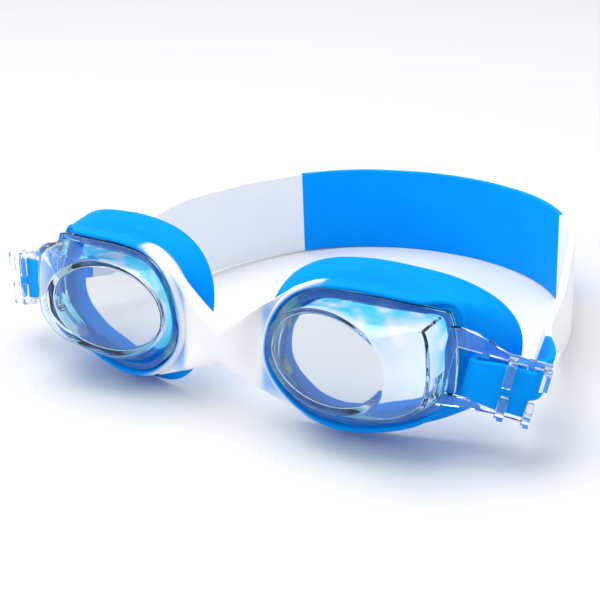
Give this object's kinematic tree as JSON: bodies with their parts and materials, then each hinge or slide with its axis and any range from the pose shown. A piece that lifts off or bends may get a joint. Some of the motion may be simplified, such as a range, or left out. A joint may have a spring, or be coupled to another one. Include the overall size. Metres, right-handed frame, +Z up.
{
  "type": "swim goggles",
  "caption": "Swim goggles with clear cup lenses, soft eye seals, a nose bridge and an adjustable silicone head strap held by hooked side clips.",
  "frame": {"origin": "middle of the object's footprint, at the level of the surface it rests on", "axes": "+Z up, -Y the way the lenses face, +X to the right as seen from the front"},
  "size_m": [0.1704, 0.141, 0.0442],
  "materials": {
    "clear_polycarbonate": "polished clear moulded plastic",
    "blue_silicone": "satin moulded silicone",
    "white_silicone": "satin moulded silicone"
  },
  "bodies": {
    "front_frame": {"lens_left": "clear_polycarbonate", "lens_right": "clear_polycarbonate", "eye_seal_left": "blue_silicone", "eye_seal_right": "blue_silicone", "nose_bridge": "white_silicone", "strap_fold_left": "blue_silicone", "strap_fold_right": "blue_silicone"},
    "strap_ends": {"strap_neck_left": "blue_silicone", "strap_neck_right": "blue_silicone"},
    "head_band": {"strap_side_left": "white_silicone", "strap_side_right": "white_silicone", "strap_back": "blue_silicone"},
    "tail_left": {"strap_tail_left": "blue_silicone"},
    "tail_right": {"strap_tail_right": "blue_silicone"}
  },
  "joints": [
    {"name": "strap_length", "type": "slide", "parent": "front_frame", "child": "strap_ends", "axis": [0, 1, 0], "range_m": [0, 0.006], "deforming": ["strap_neck_left", "strap_neck_right"]},
    {"name": "band_tilt", "type": "hinge", "parent": "strap_ends", "child": "head_band", "pos_m": [0, -0.02875, 0.0191], "axis": [1, 0, 0], "range_deg": [-15, 35]},
    {"name": "tail_slide_right", "type": "slide", "parent": "front_frame", "child": "tail_right", "axis": [0.8988, 0.3633, -0.2451], "range_m": [-0.006, 0], "deforming": ["strap_fold_right"]},
    {"name": "tail_slide_left", "type": "slide", "parent": "front_frame", "child": "tail_left", "axis": [-0.8988, 0.3633, -0.2451], "range_m": [-0.006, 0], "deforming": ["strap_fold_left"]}
  ],
  "couplings": [
    {"joint": "tail_slide_right", "follows": "strap_length", "ratio": -1},
    {"joint": "tail_slide_left", "follows": "strap_length", "ratio": -1}
  ]
}
